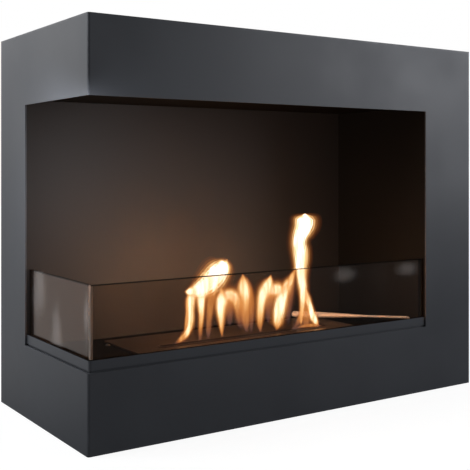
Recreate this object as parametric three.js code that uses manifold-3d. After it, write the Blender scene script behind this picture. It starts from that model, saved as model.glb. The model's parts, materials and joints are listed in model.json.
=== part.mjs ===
// A left-hand corner bioethanol fireplace: a folded sheet-steel casing that is open at the front and at
// the left side, a black liner, a tray with a low rim, two loose glass panes and a lift-out fuel burner.
// Millimetres, +X right, +Y back, +Z up. The origin is the middle of the rectangle it stands on.

import * as THREE from 'three';
import { mergeVertices } from 'three/addons/utils/BufferGeometryUtils.js';
import Module from 'manifold-3d';

const wasm = await Module();
wasm.setup();

// ---------------------------------------------------------------- driving dimensions

// Gap between two pieces that lie on each other, and how far a cut runs past the face it opens.
const SEAM = 0.3;
const CUT_PAST = 1;

// Casing.
const WIDTH = 600;
const HEIGHT = 480;
const DEPTH = 275;
const CASING_SHEET = 2;
const FOLD_RADIUS = 3;
const BASE_HEIGHT = 90;
const CANOPY_HEIGHT = 89.5;
const FRONT_STILE = 88;
const REAR_STILE = 88;
const CASING_FLANGE = 18;

// Black liner of the fire space.
const LINER_SHEET = 1.5;
const LINER_FLANGE = 15;
const CEILING_RISE = 6;

// Tray with its upstand rim.
const TRAY_SETBACK = 4;
const TRAY_SHEET = 1.5;
const TRAY_SINK = 2.5;
const RIM_RISE = 13.5;
const HEM_ABOVE_CASING = 2;
const RIM_FOLD_RADIUS = 2;
const RAIL_LEG = 16;
const RAIL_END_GAP = 20;

// Glass panes and what holds them.
const GLASS_THICKNESS = 4;
const GLASS_HEIGHT = 95.2;
const GLASS_END_PLAY = 2;
const SEAT_STRIP = 1.2;
const HOLDER_SHEET = 1.2;
const HOLDER_LEG = 7;
const STOP_HEIGHT = 12;
const STOP_FOOT = 10;

// Burner plate and its flame slot. The plate lies this much off the middle of the tray's floor.
const BURNER_SHIFT_RIGHT = 6.75;
const BURNER_SHIFT_BACK = 2.75;
const PLATE_SEAT = 12;
const PLATE_SHEET = 2.2;
const PLATE_CORNER_RADIUS = 2;
const SLOT_LENGTH = 249;
const SLOT_WIDTH = 11;
const SLOT_SHIFT_FRONT = 15;
const COLLAR_WALL = 1.5;
const COLLAR_RISE = 1.2;

// Fuel tank under the plate and what fills it.
const TANK_WIDTH = 90;
const TANK_DEPTH = 47;
const TANK_WALL = 1.2;
const TANK_CORNER_RADIUS = 8;
const CUTOUT_PLAY = 4;
const FIBRE_HEIGHT = 30;
const FIBRE_COVER_SHEET = 0.8;
const COVER_HOLE_DIAMETER = 9;
const COVER_HOLE_PITCH = 24;

// Sliding shutter that closes the flame slot.
const SHUTTER_SHEET = 1.2;
const SHUTTER_WIDTH = 20;
const SHUTTER_LAP = 3;
const SHUTTER_END_LAP = 4.5;
const GUIDE_SHEET = 1.2;
const GUIDE_FOOT = 5;
const GUIDE_FLANGE = 8;
const GUIDE_PLAY = 0.5;
const GUIDE_TO_TANK = 8;
const TAB_WIDTH = 6;
const TAB_SHEET = 2;
const TAB_RISE = 5;
const TAB_FROM_SLOT = 14;
const TAB_EDGE = 1;
const TAB_PLAY = 0.8;

// Hangers that carry the tank, and their screws.
const HANGER_SHEET = 1.5;
const HANGER_FOOT = 20;
const SCREW_SPACING = 80;
const SCREW_EDGE = 8;
const SCREW_SHANK_DIAMETER = 3.4;
const SCREW_HOLE_DIAMETER = 4;
const SCREW_HEAD_DIAMETER = 6.4;
const SCREW_HEAD_HEIGHT = 2.2;
const SCREW_FROM_PLATE = 5;
const SCREW_END = 4;

// Countersunk screws and keyholes of the rear panel.
const REAR_SCREW_FROM_SIDE = 80;
const REAR_SCREW_LENGTH = 8;
const COUNTERSINK_DIAMETER = 7;
const REAR_HOLE_CLEARANCE = 0.3;
const KEYHOLE_FROM_SIDE = 100;
const KEYHOLE_FROM_TOP = 68;
const KEYHOLE_DIAMETER = 14;
const KEYHOLE_SLOT_WIDTH = 7;
const KEYHOLE_SLOT_RISE = 12;

// Loose hook that works the shutter: a turned handle that tapers into a bent rod.
const HOOK_TIP_FROM_PLATE_END = 32;
const HOOK_TIP_BEHIND_PLATE = 8;
const HOOK_END_FROM_RIGHT_WALL = 10;
const HOOK_END_FROM_STOP = 3;
const HANDLE_RADIUS = 4.5;
const HANDLE_LENGTH = 34;
const TAPER_LENGTH = 78;
const ROD_RADIUS = 1.7;
const HOOK_DROP = 13;
const HOOK_BEND_RADIUS = 5;

// Facets of round shapes.
const ARC_STEPS = 6;
const ROUND_STEPS = 16;

// ---------------------------------------------------------------- planes worked out from them

const leftFace = -WIDTH / 2;
const rightFace = WIDTH / 2;
const frontFace = -DEPTH / 2;
const rearFace = DEPTH / 2;

const openingRight = rightFace - FRONT_STILE;
const openingRear = rearFace - REAR_STILE;
const openingTop = HEIGHT - CANOPY_HEIGHT;

const insideLeft = leftFace + CASING_SHEET + SEAM;
const insideRight = rightFace - CASING_SHEET - SEAM;
const insideFront = frontFace + CASING_SHEET + SEAM;
const insideRear = rearFace - CASING_SHEET - SEAM;
const insideBottom = CASING_SHEET + SEAM;

const ceilingBottom = openingTop + CEILING_RISE;
const wallTop = ceilingBottom - SEAM;

const trayFloorTop = BASE_HEIGHT - TRAY_SINK;
const trayBottom = trayFloorTop - TRAY_SHEET;
const rimTop = BASE_HEIGHT + RIM_RISE;
const trayLeft = leftFace + TRAY_SETBACK;
const trayFront = frontFace + TRAY_SETBACK;
const trayRight = openingRight - SEAM;
const trayRear = openingRear - SEAM;

const glassOuterX = trayLeft + TRAY_SHEET + SEAM;
const glassOuterY = trayFront + TRAY_SHEET + SEAM;
const glassInnerX = glassOuterX + GLASS_THICKNESS;
const glassInnerY = glassOuterY + GLASS_THICKNESS;
const seatBottom = trayFloorTop + SEAM;
const glassBottom = seatBottom + SEAT_STRIP + SEAM;
const glassTop = glassBottom + GLASS_HEIGHT;
const frontPaneRight = trayRight - HOLDER_SHEET - GLASS_END_PLAY;
const sidePaneRear = trayRear - HOLDER_SHEET - GLASS_END_PLAY;
const sidePaneFront = glassInnerY + SEAM;

// The shutter reaches past the slot's left end by its lap and on the right as far as its tab, so the
// slot lies left of the plate's middle by half the difference.
const shutterPastLeft = SHUTTER_END_LAP;
const shutterPastRight = TAB_FROM_SLOT + TAB_WIDTH / 2 + TAB_EDGE;
const shutterLength = SLOT_LENGTH + shutterPastLeft + shutterPastRight;
const guideLength = GUIDE_PLAY + GUIDE_SHEET + GUIDE_FLANGE;
const tankLength = shutterLength + 2 * (guideLength + GUIDE_TO_TANK + TANK_WALL);
const plateLength = tankLength + 2 * (CUTOUT_PLAY + PLATE_SEAT);
const plateWidth = TANK_WIDTH + 2 * (CUTOUT_PLAY + PLATE_SEAT);
const plateX = (trayLeft + TRAY_SHEET + trayRight) / 2 + BURNER_SHIFT_RIGHT;
const plateY = (trayFront + TRAY_SHEET + trayRear) / 2 + BURNER_SHIFT_BACK;
const plateBottom = trayFloorTop + SEAM;
const plateTop = plateBottom + PLATE_SHEET;
const underPlate = plateBottom - SEAM;
const tankBottom = underPlate - TANK_DEPTH;
const slotHalfOuter = SLOT_WIDTH / 2 + COLLAR_WALL;

// ---------------------------------------------------------------- materials

const paint = new THREE.MeshStandardMaterial({ color: 0x4f5156, roughness: 0.55, metalness: 0.35 });
const black = new THREE.MeshStandardMaterial({ color: 0x16130f, roughness: 0.7, metalness: 0.2 });
const zinc = new THREE.MeshStandardMaterial({ color: 0x8d9094, roughness: 0.5, metalness: 0.8 });
const steel = new THREE.MeshStandardMaterial({ color: 0xb9b6b0, roughness: 0.35, metalness: 1 });
const heatBlack = new THREE.MeshStandardMaterial({ color: 0x2b2420, roughness: 0.45, metalness: 0.6 });
const fibre = new THREE.MeshStandardMaterial({ color: 0xe6e2d8, roughness: 1, metalness: 0 });
const rubber = new THREE.MeshStandardMaterial({ color: 0x1b1b1b, roughness: 0.9, metalness: 0 });
const glass = new THREE.MeshStandardMaterial({
  color: 0xcfd6d8,
  roughness: 0.05,
  metalness: 0,
  transparent: true,
  opacity: 0.3,
});

// ---------------------------------------------------------------- solids and shapes

function toSolid(geometry) {
  const bare = geometry.clone();
  bare.deleteAttribute('normal');
  bare.deleteAttribute('uv');
  const merged = mergeVertices(bare, 1e-4);
  return new wasm.Manifold(new wasm.Mesh({
    numProp: 3,
    vertProperties: new Float32Array(merged.attributes.position.array),
    triVerts: new Uint32Array(merged.index.array),
  }));
}

function toGeometry(solid) {
  const mesh = solid.getMesh();
  const geometry = new THREE.BufferGeometry();
  geometry.setAttribute('position', new THREE.BufferAttribute(mesh.vertProperties, 3));
  geometry.setIndex(new THREE.BufferAttribute(mesh.triVerts, 1));
  geometry.computeVertexNormals();
  return geometry;
}

// One geometry: what the added ones fill together, less what the cut ones take away.
function shaped(added, cuts = []) {
  let solid = toSolid(added[0]);
  for (const geometry of added.slice(1)) {
    solid = solid.add(toSolid(geometry));
  }
  for (const geometry of cuts) {
    solid = solid.subtract(toSolid(geometry));
  }
  return toGeometry(solid);
}

// A box between two corners.
function block(x0, x1, y0, y1, z0, z1) {
  const box = new THREE.BoxGeometry(x1 - x0, y1 - y0, z1 - z0);
  return box.translate((x0 + x1) / 2, (y0 + y1) / 2, (z0 + z1) / 2);
}

function outline(points) {
  return new THREE.Shape(points.map(([a, b]) => new THREE.Vector2(a, b)));
}

function risen(shape, z0, z1) {
  const geometry = new THREE.ExtrudeGeometry(shape, {
    depth: z1 - z0,
    bevelEnabled: false,
    curveSegments: ARC_STEPS,
  });
  return geometry.translate(0, 0, z0);
}

// A shape drawn in (y, z) and carried along X.
function alongX(shape, x0, x1) {
  const turn = new THREE.Matrix4().makeBasis(
    new THREE.Vector3(0, 1, 0),
    new THREE.Vector3(0, 0, 1),
    new THREE.Vector3(1, 0, 0),
  );
  return risen(shape, x0, x1).applyMatrix4(turn);
}

// A shape drawn in (z, x) and carried along Y.
function alongY(shape, y0, y1) {
  const turn = new THREE.Matrix4().makeBasis(
    new THREE.Vector3(0, 0, 1),
    new THREE.Vector3(1, 0, 0),
    new THREE.Vector3(0, 1, 0),
  );
  return risen(shape, y0, y1).applyMatrix4(turn);
}

// A rectangle whose front-left corner is folded round, the others square.
function cornerPlan(x0, x1, y0, y1, radius) {
  const shape = new THREE.Shape();
  shape.moveTo(x0 + radius, y0);
  shape.lineTo(x1, y0);
  shape.lineTo(x1, y1);
  shape.lineTo(x0, y1);
  shape.lineTo(x0, y0 + radius);
  shape.absarc(x0 + radius, y0 + radius, radius, Math.PI, 1.5 * Math.PI, false);
  return shape;
}

// A rectangle round the origin with four rounded corners; with a radius of half its width, a stadium.
function roundedPlan(length, width, radius) {
  const a = length / 2 - radius;
  const b = width / 2 - radius;
  const shape = new THREE.Shape();
  shape.absarc(a, -b, radius, -Math.PI / 2, 0, false);
  shape.absarc(a, b, radius, 0, Math.PI / 2, false);
  shape.absarc(-a, b, radius, Math.PI / 2, Math.PI, false);
  shape.absarc(-a, -b, radius, Math.PI, 1.5 * Math.PI, false);
  return shape;
}

function stadium(length, width) {
  return roundedPlan(length, width, width / 2);
}

// A round bar or hole along Z.
function rod(diameter, z0, z1) {
  const cylinder = new THREE.CylinderGeometry(diameter / 2, diameter / 2, z1 - z0, ROUND_STEPS);
  return cylinder.rotateX(Math.PI / 2).translate(0, 0, (z0 + z1) / 2);
}

function piece(name, geometry, material) {
  const mesh = new THREE.Mesh(geometry, material);
  mesh.name = name;
  return mesh;
}

function assembly(...members) {
  const group = new THREE.Group();
  group.add(...members);
  return group;
}

// ---------------------------------------------------------------- casing

// One sheet folded round the front-left edge, with the L-shaped window cut through both faces.
function cornerFascia() {
  const inner = Math.max(FOLD_RADIUS - CASING_SHEET, 0.2);
  const centreX = leftFace + FOLD_RADIUS;
  const centreY = frontFace + FOLD_RADIUS;
  const plan = new THREE.Shape();
  plan.moveTo(rightFace, frontFace);
  plan.lineTo(rightFace, frontFace + CASING_SHEET);
  plan.lineTo(leftFace + CASING_SHEET + inner, frontFace + CASING_SHEET);
  plan.absarc(
    leftFace + CASING_SHEET + inner, frontFace + CASING_SHEET + inner, inner, 1.5 * Math.PI, Math.PI, true,
  );
  plan.lineTo(leftFace + CASING_SHEET, rearFace);
  plan.lineTo(leftFace, rearFace);
  plan.lineTo(leftFace, centreY);
  plan.absarc(centreX, centreY, FOLD_RADIUS, Math.PI, 1.5 * Math.PI, false);
  const beyond = CASING_SHEET;
  const windowCut = block(
    leftFace - beyond, openingRight, frontFace - beyond, openingRear, BASE_HEIGHT, openingTop,
  );
  return shaped([risen(plan, 0, HEIGHT)], [windowCut]);
}

// A side wall with a flange folded in behind the front stile.
function rightSidePanel() {
  const y0 = insideFront;
  const plan = outline([
    [rightFace, y0],
    [rightFace, rearFace],
    [rightFace - CASING_SHEET, rearFace],
    [rightFace - CASING_SHEET, y0 + CASING_SHEET],
    [rightFace - CASING_SHEET - CASING_FLANGE, y0 + CASING_SHEET],
    [rightFace - CASING_SHEET - CASING_FLANGE, y0],
  ]);
  const x0 = rightFace - CASING_SHEET - CASING_FLANGE - SEAM;
  const x1 = rightFace - CASING_SHEET;
  const y1 = y0 + CASING_SHEET + SEAM;
  const reliefs = [
    block(x0, x1, y0 - SEAM, y1, -SEAM, insideBottom),
    block(x0, x1, y0 - SEAM, y1, HEIGHT - insideBottom, HEIGHT + SEAM),
  ];
  return shaped([risen(plan, 0, HEIGHT)], reliefs);
}

// Top or base sheet with a rear flange that takes the rear panel's screws.
function endPanel(isTop) {
  const z0 = isTop ? HEIGHT - CASING_SHEET : 0;
  const z1 = z0 + CASING_SHEET;
  const plan = cornerPlan(insideLeft, insideRight, insideFront, insideRear, FOLD_RADIUS);
  const flangeLow = isTop ? z1 - CASING_SHEET - CASING_FLANGE : z0;
  const flangeHigh = isTop ? z1 : z1 + CASING_FLANGE;
  const flange = block(
    insideLeft, insideRight, insideRear - CASING_SHEET, insideRear, flangeLow, flangeHigh,
  );
  return shaped([risen(plan, z0, z1), flange], rearScrewPlaces(isTop).map(rearScrewHole));
}

// The middles of one row of rear screws, in X and Z.
function rearScrewPlaces(isTop) {
  const height = CASING_SHEET + CASING_FLANGE / 2;
  const z = isTop ? HEIGHT - height : height;
  const outer = rightFace - REAR_SCREW_FROM_SIDE;
  return [-outer, 0, outer].map((x) => ({ x, z }));
}

// A countersunk screw along its own axis, head at 0, or with a clearance the hole that it fills.
function countersunk(clearance, length) {
  const head = COUNTERSINK_DIAMETER / 2 + clearance;
  const shank = SCREW_SHANK_DIAMETER / 2 + clearance;
  const wall = clearance > 0 ? [[head, clearance]] : [];
  const profile = [[0, -length], [shank, -length], [shank, shank - head], [head, 0], ...wall, [0, clearance]];
  return new THREE.LatheGeometry(profile.map(([x, y]) => new THREE.Vector2(x, y)), ROUND_STEPS);
}

function rearScrewHole({ x, z }) {
  return countersunk(REAR_HOLE_CLEARANCE, REAR_SCREW_LENGTH + CUT_PAST).translate(x, rearFace, z);
}

function rearScrew(name, { x, z }) {
  const screw = piece(name, shaped([countersunk(0, REAR_SCREW_LENGTH)]), zinc);
  screw.position.set(x, rearFace, z);
  return screw;
}

// A keyhole to hang the casing on a wall screw: a round hole with a narrow slot above it.
function keyhole(x) {
  const z = HEIGHT - KEYHOLE_FROM_TOP;
  const y0 = rearFace - 2 * CASING_SHEET;
  const y1 = rearFace + CASING_SHEET;
  const hole = rod(KEYHOLE_DIAMETER, y0, y1).rotateX(-Math.PI / 2).translate(x, 0, z);
  const end = rod(KEYHOLE_SLOT_WIDTH, y0, y1).rotateX(-Math.PI / 2).translate(x, 0, z + KEYHOLE_SLOT_RISE);
  const half = KEYHOLE_SLOT_WIDTH / 2;
  const slot = block(x - half, x + half, y0, y1, z, z + KEYHOLE_SLOT_RISE);
  return [hole, end, slot];
}

function rearPanel() {
  const sheet = block(insideLeft, insideRight, rearFace - CASING_SHEET, rearFace, 0, HEIGHT);
  const screwHoles = [...rearScrewPlaces(true), ...rearScrewPlaces(false)].map(rearScrewHole);
  const keyholeX = rightFace - KEYHOLE_FROM_SIDE;
  const keyholes = [-keyholeX, keyholeX].flatMap(keyhole);
  return shaped([sheet], [...screwHoles, ...keyholes]);
}

function casing() {
  const places = [...rearScrewPlaces(true), ...rearScrewPlaces(false)];
  return assembly(
    piece('corner_fascia', cornerFascia(), paint),
    piece('right_side_panel', rightSidePanel(), paint),
    piece('top_panel', endPanel(true), paint),
    piece('base_panel', endPanel(false), paint),
    piece('rear_panel', rearPanel(), paint),
    ...places.map((place, index) => rearScrew(`rear_screw_${index + 1}`, place)),
  );
}

// ---------------------------------------------------------------- liner

// Ceiling pan, its front and left flanges turned up behind the canopy.
function linerCeiling() {
  const x1 = openingRight + LINER_SHEET;
  const y1 = openingRear + LINER_SHEET;
  const plan = cornerPlan(insideLeft, x1, insideFront, y1, FOLD_RADIUS);
  const hollow = cornerPlan(
    insideLeft + LINER_SHEET, x1 + LINER_SHEET, insideFront + LINER_SHEET, y1 + LINER_SHEET, FOLD_RADIUS,
  );
  const pan = risen(plan, ceilingBottom, ceilingBottom + LINER_FLANGE);
  return shaped([pan], [risen(hollow, ceilingBottom + LINER_SHEET, ceilingBottom + 2 * LINER_FLANGE)]);
}

// Back wall, flush with the rear stile's edge, its left flange folded back along the side.
function linerBackWall() {
  const x1 = openingRight + LINER_SHEET;
  const plan = outline([
    [insideLeft, openingRear],
    [x1, openingRear],
    [x1, openingRear + LINER_SHEET],
    [insideLeft + LINER_SHEET, openingRear + LINER_SHEET],
    [insideLeft + LINER_SHEET, openingRear + LINER_FLANGE],
    [insideLeft, openingRear + LINER_FLANGE],
  ]);
  return risen(plan, insideBottom, wallTop);
}

// Right wall, flush with the front stile's edge, its front flange folded out behind the stile.
function linerRightWall() {
  const y1 = openingRear - SEAM;
  const plan = outline([
    [openingRight, insideFront],
    [openingRight + LINER_FLANGE, insideFront],
    [openingRight + LINER_FLANGE, insideFront + LINER_SHEET],
    [openingRight + LINER_SHEET, insideFront + LINER_SHEET],
    [openingRight + LINER_SHEET, y1],
    [openingRight, y1],
  ]);
  return risen(plan, insideBottom, wallTop);
}

function liner() {
  return assembly(
    piece('liner_ceiling', linerCeiling(), black),
    piece('liner_back_wall', linerBackWall(), black),
    piece('liner_right_wall', linerRightWall(), black),
  );
}

// ---------------------------------------------------------------- tray

function hangerScrewPlaces() {
  const x = plateLength / 2 + SCREW_FROM_PLATE;
  const y = SCREW_SPACING / 2;
  return [[-x, -y], [-x, y], [x, -y], [x, y]].map(([dx, dy]) => ({ x: plateX + dx, y: plateY + dy }));
}

function hangerScrewHole({ x, y }) {
  const z0 = trayBottom - SEAM - HANGER_SHEET - CUT_PAST;
  return rod(SCREW_HOLE_DIAMETER, z0, trayFloorTop + CUT_PAST).translate(x, y, 0);
}

// Floor with the rim turned up along the front and the left, and the hole that the tank hangs in.
// The rim's sheet is hemmed outwards, and the hem ends a little above the casing's edge.
function tray() {
  const plan = cornerPlan(trayLeft, trayRight, trayFront, trayRear, RIM_FOLD_RADIUS);
  const hem = cornerPlan(
    trayLeft - TRAY_SHEET, trayRight, trayFront - TRAY_SHEET, trayRear, RIM_FOLD_RADIUS + TRAY_SHEET,
  );
  const beyond = TRAY_SHEET;
  const hollow = cornerPlan(
    trayLeft + TRAY_SHEET, trayRight + beyond, trayFront + TRAY_SHEET, trayRear + beyond,
    Math.max(RIM_FOLD_RADIUS - TRAY_SHEET, 0.1),
  );
  const cutout = roundedPlan(
    tankLength + 2 * CUTOUT_PLAY, TANK_WIDTH + 2 * CUTOUT_PLAY, TANK_CORNER_RADIUS,
  );
  const cuts = [
    risen(hollow, trayFloorTop, rimTop + beyond),
    risen(cutout, trayBottom - beyond, trayFloorTop + beyond).translate(plateX, plateY, 0),
    ...hangerScrewPlaces().map(hangerScrewHole),
  ];
  const hemBottom = BASE_HEIGHT + HEM_ABOVE_CASING;
  return shaped([risen(plan, trayBottom, rimTop), risen(hem, hemBottom, rimTop)], cuts);
}

// An angle whose flat leg lies under the tray's edge; (a, b) runs from the wall inwards, and down.
function railProfile(wall, inward) {
  const top = trayBottom - SEAM;
  const foot = wall + inward * RAIL_LEG;
  const inner = wall + inward * LINER_SHEET;
  return outline([
    [wall, top],
    [foot, top],
    [foot, top - LINER_SHEET],
    [inner, top - LINER_SHEET],
    [inner, top - RAIL_LEG],
    [wall, top - RAIL_LEG],
  ]);
}

function railAlongX(wall, inward) {
  return shaped([alongX(railProfile(wall, inward), insideLeft + RAIL_END_GAP, trayRight - RAIL_END_GAP)]);
}

function railAlongY(wall, inward) {
  const swapped = railProfile(wall, inward).getPoints().map((point) => [point.y, point.x]);
  return shaped([alongY(outline(swapped), insideFront + RAIL_END_GAP, trayRear - RAIL_END_GAP)]);
}

function trayAndRails() {
  return assembly(
    piece('tray', tray(), paint),
    piece('tray_rail_front', railAlongX(insideFront, 1), zinc),
    piece('tray_rail_rear', railAlongX(trayRear, -1), zinc),
    piece('tray_rail_left', railAlongY(insideLeft, 1), zinc),
    piece('tray_rail_right', railAlongY(trayRight, -1), zinc),
  );
}

// ---------------------------------------------------------------- glass

// An angle behind each pane's end: one leg lies behind the pane, the other closes the gap at its end.
function rightHolder() {
  const y0 = glassInnerY + SEAM;
  const y1 = y0 + HOLDER_SHEET;
  const behind = block(trayRight - HOLDER_LEG, trayRight, y0, y1, seatBottom, glassTop);
  const end = block(trayRight - HOLDER_SHEET, trayRight, glassOuterY, y1, seatBottom, glassTop);
  return shaped([behind, end]);
}

function rearHolder() {
  const x0 = glassInnerX + SEAM;
  const x1 = x0 + HOLDER_SHEET;
  const behind = block(x0, x1, trayRear - HOLDER_LEG, trayRear, seatBottom, glassTop);
  const end = block(glassOuterX, x1, trayRear - HOLDER_SHEET, trayRear, seatBottom, glassTop);
  return shaped([behind, end]);
}

// An angle that stops the pane's foot from the inside: (a, b) is the distance inwards and the height.
function stopProfile(start) {
  const low = seatBottom;
  return [
    [start, low],
    [start + STOP_FOOT, low],
    [start + STOP_FOOT, low + HOLDER_SHEET],
    [start + HOLDER_SHEET, low + HOLDER_SHEET],
    [start + HOLDER_SHEET, low + STOP_HEIGHT],
    [start, low + STOP_HEIGHT],
  ];
}

function frontStop() {
  const start = glassInnerX + SEAM;
  const end = trayRight - HOLDER_LEG - SEAM;
  return shaped([alongX(outline(stopProfile(glassInnerY + SEAM)), start, end)]);
}

function sideStop() {
  const profile = stopProfile(glassInnerX + SEAM).map(([a, b]) => [b, a]);
  const start = glassInnerY + SEAM + STOP_FOOT + SEAM;
  const end = trayRear - HOLDER_LEG - SEAM;
  return shaped([alongY(outline(profile), start, end)]);
}

function glazing() {
  const seatTop = seatBottom + SEAT_STRIP;
  return assembly(
    piece(
      'glass_front',
      block(glassOuterX, frontPaneRight, glassOuterY, glassInnerY, glassBottom, glassTop),
      glass,
    ),
    piece(
      'glass_side',
      block(glassOuterX, glassInnerX, sidePaneFront, sidePaneRear, glassBottom, glassTop),
      glass,
    ),
    piece(
      'glass_seat_front',
      block(glassOuterX, frontPaneRight, glassOuterY, glassInnerY, seatBottom, seatTop),
      rubber,
    ),
    piece(
      'glass_seat_side',
      block(glassOuterX, glassInnerX, sidePaneFront, sidePaneRear, seatBottom, seatTop),
      rubber,
    ),
    piece('glass_stop_front', frontStop(), black),
    piece('glass_stop_side', sideStop(), black),
    piece('glass_holder_right', rightHolder(), black),
    piece('glass_holder_rear', rearHolder(), black),
  );
}

// ---------------------------------------------------------------- burner
// The burner's pieces are drawn round the plate's middle, at their height in the object.

const slotX = (shutterPastLeft - shutterPastRight) / 2;
const slotY = -SLOT_SHIFT_FRONT;
const tabX = slotX + SLOT_LENGTH / 2 + TAB_FROM_SLOT;
const shutterX0 = slotX - SLOT_LENGTH / 2 - shutterPastLeft;
const shutterX1 = shutterX0 + shutterLength;
const shutterY0 = slotY + slotHalfOuter + SHUTTER_LAP;
const shutterY1 = shutterY0 + SHUTTER_WIDTH;
const shutterTravel = shutterY0 + SHUTTER_WIDTH / 2 - slotY;
const shutterTop = underPlate;
const shutterBottom = shutterTop - SHUTTER_SHEET;
const tabY = (shutterY0 + shutterY1) / 2;

function burnerPlate() {
  const blank = risen(roundedPlan(plateLength, plateWidth, PLATE_CORNER_RADIUS), plateBottom, plateTop);
  const outer = 2 * (COLLAR_WALL + SEAM);
  const low = plateBottom - CUT_PAST;
  const high = plateTop + CUT_PAST;
  const flameSlot = risen(stadium(SLOT_LENGTH + outer, SLOT_WIDTH + outer), low, high);
  const tabSlot = block(
    tabX - TAB_WIDTH / 2 - TAB_PLAY,
    tabX + TAB_WIDTH / 2 + TAB_PLAY,
    tabY - shutterTravel - TAB_SHEET / 2 - TAB_PLAY,
    tabY + TAB_SHEET / 2 + TAB_PLAY,
    low,
    high,
  );
  return shaped([blank], [flameSlot.translate(slotX, slotY, 0), tabSlot]);
}

// Raised lip round the flame slot.
function slotCollar() {
  const wall = 2 * COLLAR_WALL;
  const top = plateTop + COLLAR_RISE;
  const outer = risen(stadium(SLOT_LENGTH + wall, SLOT_WIDTH + wall), plateBottom, top);
  const inner = risen(stadium(SLOT_LENGTH, SLOT_WIDTH), plateBottom - CUT_PAST, top + CUT_PAST);
  return shaped([outer.translate(slotX, slotY, 0)], [inner.translate(slotX, slotY, 0)]);
}

// Open-topped fuel tank.
function burnerTank() {
  const outer = risen(roundedPlan(tankLength, TANK_WIDTH, TANK_CORNER_RADIUS), tankBottom, underPlate);
  const inner = risen(insideTank(0), tankBottom + TANK_WALL, underPlate + CUT_PAST);
  return shaped([outer], [inner]);
}

// The tank's inside in plan, less a gap.
function insideTank(gap) {
  const inset = 2 * (TANK_WALL + gap);
  return roundedPlan(tankLength - inset, TANK_WIDTH - inset, TANK_CORNER_RADIUS - TANK_WALL);
}

const fibreBottom = tankBottom + TANK_WALL + SEAM;
const fibreTop = fibreBottom + FIBRE_HEIGHT;

// Pierced sheet that keeps the fibre down, with rows of holes at an even pitch.
function fibreCover() {
  const z0 = fibreTop + SEAM;
  const z1 = z0 + FIBRE_COVER_SHEET;
  const columns = Math.floor((tankLength - 2 * COVER_HOLE_PITCH) / COVER_HOLE_PITCH) + 1;
  const rows = Math.floor((TANK_WIDTH - COVER_HOLE_PITCH) / COVER_HOLE_PITCH);
  const holes = [];
  for (let column = 0; column < columns; column += 1) {
    for (let row = 0; row < rows; row += 1) {
      const x = (column - (columns - 1) / 2) * COVER_HOLE_PITCH;
      const y = (row - (rows - 1) / 2) * COVER_HOLE_PITCH;
      holes.push(rod(COVER_HOLE_DIAMETER, z0 - CUT_PAST, z1 + CUT_PAST).translate(x, y, 0));
    }
  }
  return shaped([risen(insideTank(SEAM), z0, z1)], holes);
}

// The shutter's strip, wide enough to cover the slot, with its upright tab.
function burnerShutter() {
  const strip = block(shutterX0, shutterX1, shutterY0, shutterY1, shutterBottom, shutterTop);
  const tab = block(
    tabX - TAB_WIDTH / 2,
    tabX + TAB_WIDTH / 2,
    tabY - TAB_SHEET / 2,
    tabY + TAB_SHEET / 2,
    shutterBottom,
    plateTop + TAB_RISE,
  );
  return shaped([strip, tab]);
}

// A folded guide at one end of the shutter: flange under the plate, web down, foot under the strip.
function shutterGuide(end, outward) {
  const web = end + outward * GUIDE_PLAY;
  const webOuter = web + outward * GUIDE_SHEET;
  const flangeEnd = webOuter + outward * GUIDE_FLANGE;
  const footEnd = webOuter - outward * (GUIDE_FOOT + GUIDE_SHEET);
  const footTop = shutterBottom - SEAM;
  const footBottom = footTop - GUIDE_SHEET;
  const flangeBottom = shutterTop - GUIDE_SHEET;
  const profile = outline([
    [shutterTop, web],
    [shutterTop, flangeEnd],
    [flangeBottom, flangeEnd],
    [flangeBottom, webOuter],
    [footBottom, webOuter],
    [footBottom, footEnd],
    [footTop, footEnd],
    [footTop, web],
  ]);
  const y0 = shutterY0 - shutterTravel - SHUTTER_LAP;
  return shaped([alongY(profile, y0, shutterY1 + SHUTTER_LAP)]);
}

// A bracket under one end of the tank: flange under the tray, web down the tank's end, foot below it.
function tankHanger(side) {
  const web = side * (tankLength / 2 + SEAM);
  const webOuter = web + side * HANGER_SHEET;
  const flangeEnd = side * (plateLength / 2 + SCREW_FROM_PLATE + SCREW_EDGE);
  const footEnd = web - side * HANGER_FOOT;
  const flangeTop = trayBottom - SEAM;
  const footTop = tankBottom - SEAM;
  const profile = outline([
    [flangeTop, web],
    [flangeTop, flangeEnd],
    [flangeTop - HANGER_SHEET, flangeEnd],
    [flangeTop - HANGER_SHEET, webOuter],
    [footTop - HANGER_SHEET, webOuter],
    [footTop - HANGER_SHEET, footEnd],
    [footTop, footEnd],
    [footTop, web],
  ]);
  const holes = hangerScrewPlaces().map(hangerScrewHole).map((hole) => hole.translate(-plateX, -plateY, 0));
  const half = SCREW_SPACING / 2 + SCREW_EDGE;
  return shaped([alongY(profile, -half, half)], holes);
}

// A domed screw from the tray's floor down through the hanger.
function hangerScrew(name, { x, y }) {
  const headRadius = SCREW_HEAD_DIAMETER / 2;
  const shankRadius = SCREW_SHANK_DIAMETER / 2;
  const length = SEAM + TRAY_SHEET + SEAM + HANGER_SHEET + SCREW_END;
  const profile = [new THREE.Vector2(0, -length), new THREE.Vector2(shankRadius, -length)];
  profile.push(new THREE.Vector2(shankRadius, 0));
  for (let step = 0; step <= ARC_STEPS; step += 1) {
    const angle = (step / ARC_STEPS) * (Math.PI / 2);
    const radius = step === ARC_STEPS ? 0 : headRadius * Math.cos(angle);
    profile.push(new THREE.Vector2(radius, SCREW_HEAD_HEIGHT * Math.sin(angle)));
  }
  const screw = piece(name, shaped([new THREE.LatheGeometry(profile, ROUND_STEPS)]), zinc);
  screw.rotation.x = Math.PI / 2;
  screw.position.set(x, y, trayFloorTop + SEAM);
  return screw;
}

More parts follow.
